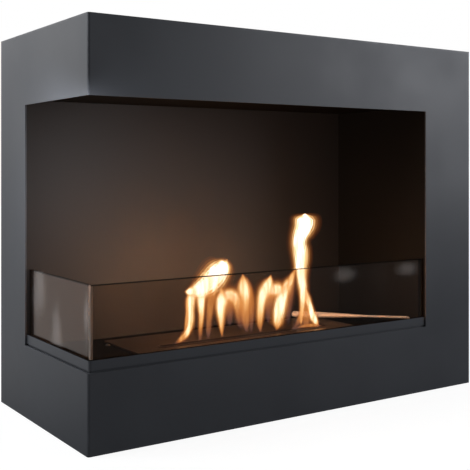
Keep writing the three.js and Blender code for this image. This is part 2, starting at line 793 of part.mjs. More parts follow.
function burner() {
  const fibreBlock = shaped([risen(insideTank(SEAM), fibreBottom, fibreTop)]);
  const unit = assembly(
    piece('burner_plate', burnerPlate(), heatBlack),
    piece('slot_collar', slotCollar(), steel),
    piece('burner_tank', burnerTank(), steel),
    piece('fibre_block', fibreBlock, fibre),
    piece('fibre_cover', fibreCover(), steel),
    piece('burner_shutter', burnerShutter(), steel),
    piece('shutter_guide_left', shutterGuide(shutterX0, -1), zinc),
    piece('shutter_guide_right', shutterGuide(shutterX1, 1), zinc),
    piece('tank_hanger_left', tankHanger(-1), zinc),
    piece('tank_hanger_right', tankHanger(1), zinc),
  );
  unit.position.set(plateX, plateY, 0);
  const screws = hangerScrewPlaces().map((place, index) => hangerScrew(`hanger_screw_${index + 1}`, place));
  return assembly(unit, ...screws);
}

// ---------------------------------------------------------------- hook

// The hook lies across the plate's rear right corner, its bent end standing on the tray's floor.
// It is drawn along +X from the handle's tip, bend downwards, and then turned to its direction.
function closingHook() {
  const tip = new THREE.Vector3(
    plateX + plateLength / 2 - HOOK_TIP_FROM_PLATE_END,
    plateY + plateWidth / 2 + HOOK_TIP_BEHIND_PLATE,
    plateTop + SEAM + HANDLE_RADIUS,
  );
  const end = new THREE.Vector3(
    openingRight - HOOK_END_FROM_RIGHT_WALL,
    glassInnerY + SEAM + STOP_FOOT + HOOK_END_FROM_STOP,
    trayFloorTop + SEAM + HOOK_DROP,
  );
  const flat = Math.hypot(end.x - tip.x, end.y - tip.y);
  const rise = end.z - tip.z;
  const reach = Math.hypot(flat, rise);

  const profile = [new THREE.Vector2(0, 0)];
  for (let step = 1; step <= ARC_STEPS; step += 1) {
    const angle = (step / ARC_STEPS) * (Math.PI / 2);
    profile.push(new THREE.Vector2(
      HANDLE_RADIUS * Math.sin(angle),
      HANDLE_RADIUS * (1 - Math.cos(angle)),
    ));
  }
  profile.push(new THREE.Vector2(HANDLE_RADIUS, HANDLE_LENGTH));
  profile.push(new THREE.Vector2(ROD_RADIUS, HANDLE_LENGTH + TAPER_LENGTH));
  profile.push(new THREE.Vector2(0, HANDLE_LENGTH + TAPER_LENGTH));
  const handle = new THREE.LatheGeometry(profile, ROUND_STEPS).rotateZ(-Math.PI / 2);

  const path = new THREE.CurvePath();
  const bendStart = reach - HOOK_BEND_RADIUS;
  const bottom = -HOOK_DROP;
  path.add(new THREE.LineCurve3(
    new THREE.Vector3(HANDLE_LENGTH + TAPER_LENGTH - ROD_RADIUS, 0, 0),
    new THREE.Vector3(bendStart, 0, 0),
  ));
  path.add(new THREE.QuadraticBezierCurve3(
    new THREE.Vector3(bendStart, 0, 0),
    new THREE.Vector3(reach, 0, 0),
    new THREE.Vector3(reach, 0, -HOOK_BEND_RADIUS),
  ));
  path.add(new THREE.LineCurve3(
    new THREE.Vector3(reach, 0, -HOOK_BEND_RADIUS),
    new THREE.Vector3(reach, 0, bottom),
  ));
  const section = new THREE.Shape();
  section.absarc(0, 0, ROD_RADIUS, 0, 2 * Math.PI, false);
  const bentRod = new THREE.ExtrudeGeometry(section, {
    steps: 24,
    curveSegments: ARC_STEPS,
    extrudePath: path,
    bevelEnabled: false,
  });

  const hook = piece('closing_hook', shaped([handle, bentRod]), steel);
  hook.position.copy(tip);
  hook.rotation.order = 'ZYX';
  hook.rotation.z = Math.atan2(end.y - tip.y, end.x - tip.x);
  hook.rotation.y = -Math.atan2(rise, flat);
  return hook;
}

export default assembly(casing(), liner(), trayAndRails(), glazing(), burner(), closingHook());
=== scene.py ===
"""A corner bioethanol fireplace: finishes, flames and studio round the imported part."""

import json
import logging
import math
from dataclasses import dataclass
from enum import Enum
from typing import Any

import bpy
import numpy as np
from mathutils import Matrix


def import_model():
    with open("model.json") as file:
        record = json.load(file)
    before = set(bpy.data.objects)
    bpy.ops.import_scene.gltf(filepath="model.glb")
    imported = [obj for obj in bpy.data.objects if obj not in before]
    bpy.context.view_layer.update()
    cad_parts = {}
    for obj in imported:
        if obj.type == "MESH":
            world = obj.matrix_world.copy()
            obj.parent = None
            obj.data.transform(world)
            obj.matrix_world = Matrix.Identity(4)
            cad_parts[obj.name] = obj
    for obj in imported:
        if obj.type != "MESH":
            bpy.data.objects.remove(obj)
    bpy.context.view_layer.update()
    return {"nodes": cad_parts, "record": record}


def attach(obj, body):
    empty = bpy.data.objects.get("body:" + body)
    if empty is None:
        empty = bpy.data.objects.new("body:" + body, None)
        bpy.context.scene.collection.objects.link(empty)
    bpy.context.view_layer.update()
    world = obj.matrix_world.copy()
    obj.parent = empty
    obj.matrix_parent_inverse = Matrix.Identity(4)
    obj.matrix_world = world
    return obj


Colour = tuple[float, float, float]
Point = tuple[float, float, float]
Input = Any
Socket = bpy.types.NodeSocket
Thing = bpy.types.Object
Material = bpy.types.Material
Nodes = dict[str, Thing]

log = logging.getLogger("fireplace")

MM = 0.001


# --- node trees ---


class Graph:
    """A node tree with short calls that add a node, fill its inputs and give back an output."""

    def __init__(self, tree: bpy.types.NodeTree) -> None:
        """Keeps the tree.

        Args:
            tree: the material's, world's or group's node tree.
        """
        self.tree = tree

    def put(self, socket: Socket, value: Input) -> None:
        """Links or sets one input.

        Args:
            socket: the input.
            value: an output socket to link, or a number, vector or colour.
        """
        if isinstance(value, Socket):
            self.tree.links.new(value, socket)
        elif socket.type == "RGBA" and len(value) == 3:
            socket.default_value = (*value, 1.0)
        else:
            socket.default_value = value

    def add(self, kind: str, inputs: dict[Any, Input] | None = None, **settings: Any) -> bpy.types.Node:
        """Adds a node.

        Args:
            kind: the node's type name without its "ShaderNode" start.
            inputs: values and links by the input's name or number.
            settings: the node's own properties.

        Returns:
            The node.
        """
        node = self.tree.nodes.new("ShaderNode" + kind)
        for name, value in settings.items():
            setattr(node, name, value)
        self.fill(node, inputs or {})
        return node

    def fill(self, node: bpy.types.Node, inputs: dict[Any, Input]) -> None:
        """Links or sets a node's inputs.

        Args:
            node: the node.
            inputs: values and links by the input's name or number.
        """
        for name, value in inputs.items():
            self.put(node.inputs[name], value)

    def math(self, operation: str, *values: Input, clamp: bool = False) -> Socket:
        """One arithmetic step.

        Args:
            operation: the Math node's operation.
            values: up to three numbers or outputs.
            clamp: whether the result is kept from 0 to 1.

        Returns:
            The result.
        """
        return self.add("Math", dict(enumerate(values)), operation=operation, use_clamp=clamp).outputs[0]

    def remap(self, value: Input, low: float, high: float, to_low: float = 0, to_high: float = 1) -> Socket:
        """A smooth, clamped change of range.

        Args:
            value: the number to change.
            low: where the result starts to leave to_low.
            high: where it reaches to_high.
            to_low: the result at low.
            to_high: the result at high.

        Returns:
            The result.
        """
        inputs = {"Value": value, "From Min": low, "From Max": high, "To Min": to_low, "To Max": to_high}
        return self.add("MapRange", inputs, interpolation_type="SMOOTHSTEP").outputs[0]

    def blend(self, share: Input, first: Input, second: Input) -> Socket:
        """Mixes two colours.

        Args:
            share: the second colour's share.
            first: the colour at 0.
            second: the colour at 1.

        Returns:
            The mixed colour.
        """
        return self.add("Mix", {0: share, 6: first, 7: second}, data_type="RGBA").outputs[2]

    def noise(self, vector: Input, scale: Input, detail: float = 3.0, roughness: float = 0.5) -> Socket:
        """Fractal noise from 0 to 1.

        Args:
            vector: where to read it, in metres.
            scale: cells per metre.
            detail: its octaves.
            roughness: how strong the finer octaves are.

        Returns:
            The value.
        """
        inputs = {"Vector": vector, "Scale": scale, "Detail": detail, "Roughness": roughness}
        return self.add("TexNoise", inputs).outputs[0]

    def stretched(self, vector: Input, scale: Point, place: Point = (0.0, 0.0, 0.0)) -> Socket:
        """Stretches and moves a pattern's coordinates.

        Args:
            vector: the coordinates.
            scale: the factor along each axis.
            place: what is added after scaling.

        Returns:
            The new coordinates.
        """
        return self.add("Mapping", {"Vector": vector, "Location": place, "Scale": scale}).outputs[0]

    def separate(self, vector: Input) -> Any:
        """Splits a vector.

        Args:
            vector: the vector.

        Returns:
            Its three parts.
        """
        return self.add("SeparateXYZ", {0: vector}).outputs

    def bump(self, height: Input, depth: float, strength: float = 1.0) -> Socket:
        """Turns a height from 0 to 1 into a normal.

        Args:
            height: the height.
            depth: how deep 1 is, in metres.
            strength: how strong the bump is.

        Returns:
            The normal.
        """
        return self.add("Bump", {"Height": height, "Distance": depth, "Strength": strength}).outputs[0]


class Effect(Enum):
    """The shared effects, each one shader node group."""

    POWDER = "powder_texture"
    EDGE = "edge_wear_and_highlight"
    DUST = "settled_dust"
    BRUSHED = "brushed_lines"
    GLOW_AND_SMUDGE = "glow_and_smudge_patch"
    WIPED = "wiped_streaks"


class Effects:
    """Builds each shared effect once and places it in materials."""

    def __init__(self) -> None:
        """Builds all the groups."""
        self.trees: dict[Effect, bpy.types.NodeTree] = {}
        self._powder()
        self._edge()
        self._dust()
        self._brushed()
        self._glow_and_smudge()
        self._wiped()

    def _group(
        self, effect: Effect, inputs: dict[str, Input], outputs: tuple[str, ...],
    ) -> tuple[Graph, Any, Any]:
        """Starts a group with its named sockets.

        Args:
            effect: which effect it is.
            inputs: input names with their default values; None stands for a vector.
            outputs: names of the float outputs.

        Returns:
            The graph, its input node's outputs and its output node's inputs.
        """
        tree = bpy.data.node_groups.new(effect.value, "ShaderNodeTree")
        for name, default in inputs.items():
            vector = default is None or isinstance(default, tuple)
            kind = "NodeSocketVector" if vector else "NodeSocketFloat"
            socket = tree.interface.new_socket(name, in_out="INPUT", socket_type=kind)
            if default is not None:
                socket.default_value = default
        for name in outputs:
            tree.interface.new_socket(name, in_out="OUTPUT", socket_type="NodeSocketFloat")
        self.trees[effect] = tree
        start, end = tree.nodes.new("NodeGroupInput"), tree.nodes.new("NodeGroupOutput")
        return Graph(tree), start.outputs, end.inputs

    def _powder(self) -> None:
        """Powder coat: an orange-peel height, a slow mottle and fine pigment specks."""
        outputs = ("Height", "Mottle", "Specks")
        g, start, end = self._group(Effect.POWDER, {"Vector": None, "Grain": 700.0}, outputs)
        g.put(end["Height"], g.noise(start["Vector"], start["Grain"], detail=2.0))
        g.put(end["Mottle"], g.noise(start["Vector"], 9.0, detail=4.0, roughness=0.55))
        moved = g.stretched(start["Vector"], (1.0, 1.0, 1.0), place=(3.1, 0.7, 1.9))
        g.put(end["Specks"], g.remap(g.noise(moved, 1900.0, detail=1.0), 0.62, 0.75))

    def _edge(self) -> None:
        """Lighter edges, partly worn and partly a painted highlight: near two faces of a box at once, broken
        up by noise.

        Each axis gives the distance to the nearer of the box's two faces. The second smallest of the three
        distances is the distance to the box's nearest edge line.
        """
        inputs = {"Vector": None, "Centre": (0.0, 0.0, 0.0), "Half Size": (0.3, 0.14, 0.24), "Width": 0.003}
        g, start, end = self._group(Effect.EDGE, inputs, ("Mask",))
        place = g.add("VectorMath", {0: start["Vector"], 1: start["Centre"]}, operation="SUBTRACT").outputs[0]
        away = g.add("VectorMath", {0: place}, operation="ABSOLUTE").outputs[0]
        inside = g.add("VectorMath", {0: start["Half Size"], 1: away}, operation="SUBTRACT").outputs[0]
        depth = g.add("VectorMath", {0: inside}, operation="ABSOLUTE").outputs[0]
        x, y, z = g.separate(depth)[:3]
        low, high = g.math("MINIMUM", x, y), g.math("MAXIMUM", x, y)
        second = g.math("MINIMUM", high, g.math("MAXIMUM", low, z))
        near = g.math("SUBTRACT", 1.0, g.math("DIVIDE", second, start["Width"]), clamp=True)
        worn = g.remap(g.noise(start["Vector"], 55.0, detail=4.0, roughness=0.65), 0.35, 0.62)
        g.put(end["Mask"], g.math("MULTIPLY", near, worn))

    def _dust(self) -> None:
        """Dust: where the surface faces up, in soft patches."""
        g, start, end = self._group(Effect.DUST, {"Vector": None, "Amount": 0.3}, ("Mask",))
        normal = g.add("NewGeometry").outputs["Normal"]
        up = g.remap(g.separate(normal)[2], 0.45, 0.95)
        patch = g.remap(g.noise(start["Vector"], 30.0, detail=6.0, roughness=0.7), 0.3, 0.75)
        g.put(end["Mask"], g.math("MULTIPLY", g.math("MULTIPLY", up, patch), start["Amount"]))

    def _brushed(self) -> None:
        """Brushed metal: noise drawn out along X into fine lines."""
        g, start, end = self._group(Effect.BRUSHED, {"Vector": None}, ("Lines", "Broad"))
        fine = g.stretched(start["Vector"], (18.0, 1400.0, 1400.0))
        g.put(end["Lines"], g.noise(fine, 1.0, detail=4.0, roughness=0.7))
        g.put(end["Broad"], g.noise(g.stretched(start["Vector"], (4.0, 90.0, 90.0)), 1.0))

    def _glow_and_smudge(self) -> None:
        """Round patch: strongest at a centre, fading out to a radius, with an uneven rim. Painted glow and
        smudges use it.
        """
        inputs = {"Vector": None, "Centre": (0.0, 0.0, 0.1), "Stretch": (1.0, 1.0, 1.0), "Radius": 0.1}
        g, start, end = self._group(Effect.GLOW_AND_SMUDGE, inputs, ("Mask",))
        place = g.add("VectorMath", {0: start["Vector"], 1: start["Centre"]}, operation="SUBTRACT").outputs[0]
        place = g.add("VectorMath", {0: place, 1: start["Stretch"]}, operation="MULTIPLY").outputs[0]
        distance = g.add("VectorMath", {0: place}, operation="LENGTH").outputs["Value"]
        share = g.math("DIVIDE", distance, start["Radius"])
        waves = g.noise(start["Vector"], 22.0, detail=5.0, roughness=0.6)
        uneven = g.math("ADD", share, g.remap(waves, 0.2, 0.8, -0.25, 0.25))
        g.put(end["Mask"], g.remap(uneven, 1.0, 0.1))

    def _wiped(self) -> None:
        """Wipe marks on glass: broad upright streaks with fine lines inside them."""
        g, start, end = self._group(Effect.WIPED, {"Vector": None}, ("Film", "Lines"))
        broad = g.noise(g.stretched(start["Vector"], (38.0, 38.0, 9.0)), 1.0, detail=2.0, roughness=0.4)
        fine = g.noise(g.stretched(start["Vector"], (420.0, 420.0, 22.0)), 1.0, roughness=0.6)
        g.put(end["Film"], g.remap(broad, 0.45, 0.8))
        g.put(end["Lines"], fine)

    def patch_mask(self, g: Graph, where: Input, centre: Point, stretch: Point, radius: float) -> Socket:
        """Places a round patch in a material; the painted warm glows of the flames and the glass smudges use
        it.

        Args:
            g: the material's graph.
            where: the coordinates.
            centre: the patch's middle.
            stretch: how much the patch shrinks along each axis.
            radius: its reach where the stretch is 1.

        Returns:
            The patch's mask.
        """
        inputs = {"Vector": where, "Centre": centre, "Stretch": stretch, "Radius": radius}
        return self.place(g, Effect.GLOW_AND_SMUDGE, inputs)["Mask"]

    def place(self, g: Graph, effect: Effect, inputs: dict[str, Input]) -> Any:
        """Places an effect in a material.

        Args:
            g: the material's graph.
            effect: which effect.
            inputs: its values and links.

        Returns:
            The group node's outputs.
        """
        return g.add("Group", inputs, node_tree=self.trees[effect]).outputs


def link(name: str, data: Any) -> Thing:
    """Makes an object and links it to the scene.

    Args:
        name: its name.
        data: its mesh, light or camera.

    Returns:
        The object.
    """
    made = bpy.data.objects.new(name, data)
    bpy.context.scene.collection.objects.link(made)
    return made


def emptied(owner: Material | bpy.types.World) -> Graph:
    """Empties the node tree of a material or world.

    Args:
        owner: the material or world.

    Returns:
        The tree's graph.
    """
    owner.use_nodes = True
    owner.node_tree.nodes.clear()
    return Graph(owner.node_tree)


def new_material(name: str) -> tuple[Material, Graph, bpy.types.Node, Socket]:
    """An empty Principled material.

    Args:
        name: its name.

    Returns:
        The material, its graph, its Principled node and the Object coordinates.
    """
    material = bpy.data.materials.new(name)
    g = emptied(material)
    shader = g.add("BsdfPrincipled")
    g.add("OutputMaterial", {"Surface": shader.outputs[0]})
    return material, g, shader, g.add("TexCoord").outputs["Object"]


def scaled(colour: Colour, factor: float) -> Colour:
    """A lighter or darker colour.

    Args:
        colour: the colour.
        factor: what each channel is multiplied by.

    Returns:
        The new colour.
    """
    return tuple(channel * factor for channel in colour)


# --- finishes ---


@dataclass(frozen=True)
class PaintedWarmGlow:
    """A painted warm glow: the flames' light painted into the paint as a lighter, warmer patch. It shrinks
    along each axis by the stretch.
    """

    colour: Colour
    centre: Point
    stretch: Point
    radius: float
    strength: float = 0.6


@dataclass(frozen=True)
class PaintedTrayShade:
    """Painted shade on a tray: near-black painted over the floor up to one height, and over the rim from just
    under its top.
    """

    floor: float
    rim: float
    colour: Colour
    floor_fade: float = 0.4 * MM
    rim_band: tuple[float, float] = (0.6 * MM, 0.3 * MM)


@dataclass(frozen=True)
class PowderCoat:
    """A baked powder coat or stove paint on sheet metal, with orange peel, specks, lighter edges and dust.

    The lacquer is a clear coat that the painted shade hides. The box of centre and half_size has the lighter
    edges, partly wear and partly a painted highlight.
    """

    name: str
    colour: Colour
    shine: float
    roughness: float = 0.6
    grain: float = 700.0
    peel: float = 0.04 * MM
    mottle: float = 0.05
    dust: float = 0.05
    centre: Point = (0.0, 0.0, 0.24)
    half_size: Point = (0.3, 0.1375, 0.24)
    edge: float = 0.1
    # The painted warm glow of the flames' light on this paint, or None.
    heat: PaintedWarmGlow | None = None
    # Near-black painted shade on a tray's floor and rim top, or None.
    tray_shade: PaintedTrayShade | None = None
    lacquer: float = 0.0
    speck_share: float = 0.35
    speck_gain: float = 1.5
    # How much lighter the edges are: wear and a painted highlight.
    edge_highlight_gain: float = 2.2
    dust_colour: Colour = (0.32, 0.31, 0.29)

    def build(self, effects: Effects) -> Material:
        """Makes the material.

        Args:
            effects: the shared effects.

        Returns:
            The material.
        """
        material, g, shader, where = new_material(self.name)
        powder = effects.place(g, Effect.POWDER, {"Vector": where, "Grain": self.grain})
        slow = g.remap(powder["Mottle"], 0.25, 0.75)
        colour = g.blend(slow, scaled(self.colour, 1.0 - self.mottle), scaled(self.colour, 1.0 + self.mottle))
        specks = g.math("MULTIPLY", powder["Specks"], self.speck_share)
        colour = g.blend(specks, colour, scaled(self.colour, self.speck_gain))
        # Painted warm glow: the flames' light painted into the colour as a lighter, warmer patch.
        if self.heat is not None:
            patch_mask = effects.patch_mask(g, where, self.heat.centre, self.heat.stretch, self.heat.radius)
            colour = g.blend(g.math("MULTIPLY", patch_mask, self.heat.strength), colour, self.heat.colour)
        # Painted shade: near-black painted over the tray's floor and along the rim's top edge, with no
        # lacquer there.
        if self.tray_shade is not None:
            z, tray_shade = g.separate(where)[2], self.tray_shade
            floor = g.remap(z, tray_shade.floor + tray_shade.floor_fade, tray_shade.floor)
            rim = g.remap(z, tray_shade.rim - tray_shade.rim_band[0], tray_shade.rim - tray_shade.rim_band[1])
            painted_shade = g.math("MAXIMUM", floor, rim)
            colour = g.blend(painted_shade, colour, tray_shade.colour)
            lacquer = g.remap(painted_shade, 0.0, 1.0, self.lacquer, 0.0)
            g.fill(shader, {"Coat Weight": lacquer, "Coat Roughness": self.roughness})
        # Lighter edges: partly wear, partly a painted highlight along the folds and edges.
        inputs = {"Vector": where, "Centre": self.centre, "Half Size": self.half_size}
        worn_highlit_edge = effects.place(g, Effect.EDGE, inputs)["Mask"]
        colour = g.blend(g.math("MULTIPLY", worn_highlit_edge, self.edge), colour, scaled(self.colour, self.edge_highlight_gain))
        dust = effects.place(g, Effect.DUST, {"Vector": where, "Amount": self.dust})["Mask"]
        colour = g.blend(dust, colour, self.dust_colour)
        gloss = g.remap(powder["Mottle"], 0.2, 0.8, self.roughness - 0.05, self.roughness + 0.06)
        dusted = g.math("ADD", gloss, g.math("MULTIPLY", dust, 0.3))
        gloss = g.math("SUBTRACT", dusted, g.math("MULTIPLY", worn_highlit_edge, 0.12))
        normal = g.bump(powder["Height"], self.peel)
        look = {"Base Color": colour, "Roughness": gloss, "Normal": normal, "Specular IOR Level": self.shine}
        g.fill(shader, look)
        return material


@dataclass(frozen=True)
class BrushedSteel:
    """Brushed stainless steel, darkened and tinted by heat."""

    name: str
    colour: Colour
    heat_colour: Colour
    roughness: float
    metallic: float = 1.0
    heat_share: float = 0.55
    line_depth: float = 0.02 * MM

    def build(self, effects: Effects) -> Material:
        """Makes the material.

        Args:
            effects: the shared effects.

        Returns:
            The material.
        """
        material, g, shader, where = new_material(self.name)
        brushed = effects.place(g, Effect.BRUSHED, {"Vector": where})
        colour = g.blend(g.remap(brushed["Lines"], 0.3, 0.7), scaled(self.colour, 0.86), self.colour)
        tint = g.remap(brushed["Broad"], 0.35, 0.7)
        colour = g.blend(g.math("MULTIPLY", tint, self.heat_share), colour, self.heat_colour)
        rough = g.remap(brushed["Lines"], 0.2, 0.8, self.roughness - 0.08, self.roughness + 0.12)
        normal = g.bump(brushed["Lines"], self.line_depth, strength=0.6)
        look = {"Base Color": colour, "Metallic": self.metallic, "Roughness": rough, "Normal": normal}
        g.fill(shader, look)
        return material


@dataclass(frozen=True)
class ZincSheet:
    """Zinc-coated steel with a dull crystal pattern."""

    name: str
    colour: Colour
    cells: float = 180.0
    dust: float = 0.25
    dust_colour: Colour = (0.3, 0.29, 0.27)
    pitting: float = 0.03 * MM

    def build(self, effects: Effects) -> Material:
        """Makes the material.

        Args:
            effects: the shared effects.

        Returns:
            The material.
        """
        material, g, shader, where = new_material(self.name)
        crystals = g.add("TexVoronoi", {"Vector": where, "Scale": self.cells, "Randomness": 0.9})
        shade = g.add("SeparateColor", {0: crystals.outputs["Color"]}).outputs[0]
        colour = g.blend(shade, scaled(self.colour, 0.78), scaled(self.colour, 1.08))
        dust = effects.place(g, Effect.DUST, {"Vector": where, "Amount": self.dust})["Mask"]
        colour = g.blend(dust, colour, self.dust_colour)
        rough = g.remap(shade, 0.0, 1.0, 0.36, 0.5)
        normal = g.bump(g.noise(where, 800.0), self.pitting)
        g.fill(shader, {"Base Color": colour, "Metallic": 1.0, "Roughness": rough, "Normal": normal})
        return material


@dataclass(frozen=True)
class ClearGlass:
    """A toughened pane that lets the lamps through, with wipe marks and smudges.

    Each smudge is a centre, a stretch and a radius. The pane's low end face is ground. A painted shade line
    runs under the top edge, standing in for the dark look of the glass's edge.
    """

    name: str
    colour: Colour
    centre: Point
    half_size: Point
    shine: float
    smears: float
    smudges: tuple[tuple[Point, Point, float], ...]
    smudged: float = 1.0
    tint: Colour = (1.0, 1.0, 1.0)
    roughness: float = 0.02
    ground: float = 0.4 * MM
    ground_colour: Colour = (0.4, 0.39, 0.38)
    painted_top_line: float = 1.4 * MM
    painted_top_line_factor: float = 0.15

    def build(self, effects: Effects) -> Material:
        """Makes the material.

        Args:
            effects: the shared effects.

        Returns:
            The material.
        """
        material, g, shader, where = new_material(self.name)
        marks = effects.place(g, Effect.WIPED, {"Vector": where})
        film = g.math("MULTIPLY", marks["Film"], g.remap(marks["Lines"], 0.3, 0.7, 0.6, 1.0))
        film = g.math("MULTIPLY", film, self.smears)
        for centre, stretch, radius in self.smudges:
            patch = g.math("MULTIPLY", effects.patch_mask(g, where, centre, stretch, radius), self.smudged)
            film = g.math("MAXIMUM", film, patch)
        place = g.separate(where)
        along = self.half_size.index(max(self.half_size))
        reach = g.math("SUBTRACT", place[along], self.centre[along] - self.half_size[along])
        end = g.remap(reach, self.ground, 0.5 * self.ground)
        rough = g.remap(film, 0.0, 1.0, self.roughness, self.roughness + 0.1)
        rough = g.math("ADD", rough, g.math("MULTIPLY", end, 0.5))
        colour = g.blend(film, self.colour, scaled(self.colour, 0.94))
        colour = g.blend(end, colour, self.ground_colour)
        # Painted shade: a dark line under the top edge, for the dark look that internal reflection gives the
        # glass's edge.
        top = self.centre[2] + self.half_size[2]
        painted_top_line = g.remap(place[2], top - self.painted_top_line, top - 0.8 * self.painted_top_line)
        colour = g.blend(painted_top_line, colour, scaled(self.colour, self.painted_top_line_factor))
        film = g.math("MAXIMUM", film, g.math("MULTIPLY", end, 0.4))
        g.fill(shader, {"Base Color": colour, "Roughness": rough, "IOR": 1.5, "Transmission Weight": 1.0})
        # Specular Tint: warm on the side pane, a painted warm reflection.
        g.fill(shader, {"Specular IOR Level": self.shine, "Specular Tint": self.tint})
        g.fill(shader, {"Coat Weight": film, "Coat IOR": 2.1, "Coat Roughness": 0.45})
        clear = g.add("BsdfTransparent", {"Color": scaled(self.colour, 0.96)})
        lamp = g.add("LightPath").outputs["Is Shadow Ray"]
        mixed = g.add("MixShader", {0: lamp, 1: shader.outputs[0], 2: clear.outputs[0]})
        output = next(n for n in material.node_tree.nodes if n.type == "OUTPUT_MATERIAL")
        g.put(output.inputs["Surface"], mixed.outputs[0])
        return material


@dataclass(frozen=True)
class CeramicFibre:
    """White ceramic wool: matted threads with scorched tufts."""

    name: str
    colour: Colour
    scorched: Colour = (0.3, 0.24, 0.18)
    depth: float = 0.6 * MM

    def build(self, effects: Effects) -> Material:
        """Makes the material.

        Args:
            effects: the shared effects.

        Returns:
            The material.
        """
        material, g, shader, where = new_material(self.name)
        threads = g.noise(g.stretched(where, (260.0, 900.0, 900.0)), 1.0, detail=6.0, roughness=0.75)
        tufts = g.noise(where, 120.0, detail=5.0, roughness=0.65)
        colour = g.blend(g.remap(threads, 0.3, 0.7), scaled(self.colour, 0.75), self.colour)
        colour = g.blend(g.remap(tufts, 0.55, 0.8, 0.0, 0.5), colour, self.scorched)
        rough = g.remap(threads, 0.2, 0.8, 0.85, 1.0)
        g.fill(shader, {"Base Color": colour, "Roughness": rough, "Normal": g.bump(threads, self.depth)})
        return material


@dataclass(frozen=True)
class SeatRubber:
    """Matt black silicone strip with a faint bloom."""

    name: str
    colour: Colour

    def build(self) -> Material:
        """Makes the material.

        Returns:
            The material.
        """
        material, g, shader, where = new_material(self.name)
        bloom = g.noise(where, 160.0, detail=5.0, roughness=0.6)
        colour = g.blend(g.remap(bloom, 0.4, 0.75), self.colour, scaled(self.colour, 2.0))
        rough = g.remap(bloom, 0.2, 0.8, 0.7, 0.9)
        g.fill(shader, {"Base Color": colour, "Roughness": rough, "Normal": g.bump(bloom, 0.1 * MM)})
        return material


@dataclass(frozen=True)
class FlameGlow:
    """Burning vapour: a pale core, amber edges and a dim, bluish foot.

    The shades run from a tongue's edge to its hottest core. Alpha is the haze at the edge, and solid more at
    the core.
    """

    name: str = "flame_glow"
    foot: Colour = (0.06, 0.045, 0.055)
    shades: tuple[tuple[float, Colour], ...] = (
        (0.0, (0.15, 0.037, 0.009)),
        (0.25, (0.25, 0.078, 0.015)),
        (0.5, (0.37, 0.17, 0.048)),
        (0.75, (0.58, 0.4, 0.19)),
        (1.0, (1.0, 0.95, 0.84)),
    )
    strength: float = 3.2
    haze: float = 0.035
    solid: float = 0.85

    def build(self) -> Material:
        """Makes the material. It reads the flame_core and flame_heat of the flames' meshes.

        Returns:
            The material.
        """
        material, g, shader, where = new_material(self.name)
        core = g.add("Attribute", attribute_name="flame_core").outputs["Fac"]
        heat = g.add("Attribute", attribute_name="flame_heat").outputs["Fac"]
        streak = g.noise(g.stretched(where, (190.0, 60.0, 18.0)), 1.0, detail=2.0)
        streak = g.remap(streak, 0.36, 0.62, 0.62, 1.15)
        warmth = g.math("MULTIPLY_ADD", heat, 1.15, -0.05)
        reach = g.math("MULTIPLY", warmth, g.math("MULTIPLY_ADD", streak, 0.6, 0.4))
        shade = g.add("ValToRGB", {0: g.math("MULTIPLY", core, reach)})
        stops = shade.color_ramp.elements
        for position, _ in self.shades[1:-1]:
            stops.new(position)
        for stop, (_, colour) in zip(stops, self.shades):
            stop.color = (*colour, 1.0)
        glow = g.blend(g.remap(heat, 0.05, 0.55), self.foot, shade.outputs[0])
        solid = g.math("ADD", self.haze, g.math("MULTIPLY", g.math("POWER", core, 2.6), self.solid))
        thick = g.math("MULTIPLY", g.math("POWER", heat, 1.5), streak)
        alpha = g.math("MULTIPLY", solid, thick, clamp=True)
        g.fill(shader, {"Base Color": (0.0, 0.0, 0.0), "Roughness": 1.0, "Specular IOR Level": 0.0})
        g.fill(shader, {"Emission Color": glow, "Emission Strength": self.strength, "Alpha": alpha})
        return material


# --- sub-assemblies ---


GRAPHITE: Colour = (0.078, 0.083, 0.094)
LINER_CENTRE: Point = (-0.044, -0.04, 0.24)
LINER_HALF_SIZE: Point = (0.256, 0.0895, 0.1565)


def dress(node: Thing, material: Material) -> None:
    """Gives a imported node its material.

    Args:
        node: the node's object.
        material: the finish.
    """
    node.data.materials.clear()
    node.data.materials.append(material)
    log.info("%s: %s", node.name, material.name)


@dataclass(frozen=True)
class PaintedCasing:
    """The folded graphite casing: fascia, side, top, base and rear sheets, and the tray with its rim."""

    graphite: PowderCoat = PowderCoat("graphite_powder_coat", GRAPHITE, shine=0.5, roughness=0.4, edge=0.35)
    tray_coat: PowderCoat = PowderCoat(
        "tray_powder_coat", GRAPHITE, shine=0.0, roughness=0.4, dust=0.02, lacquer=1.0,
        centre=(-0.0429, -0.0429, 0.09475), half_size=(0.2546, 0.0921, 0.00875),
        # Painted shade: near-black over the tray's floor and along the rim's top edge.
        tray_shade=PaintedTrayShade(floor=0.0879, rim=0.1035, colour=(0.007, 0.006, 0.005)),
    )
    sheets: tuple[str, ...] = ("corner_fascia", "right_side_panel", "top_panel", "base_panel", "rear_panel")

    def build(self, nodes: Nodes, effects: Effects) -> None:
        """Dresses the casing.

        Args:
            nodes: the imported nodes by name.
            effects: the shared effects.
        """
        coat = self.graphite.build(effects)
        for name in self.sheets:
            dress(nodes[name], coat)
        dress(nodes["tray"], self.tray_coat.build(effects))


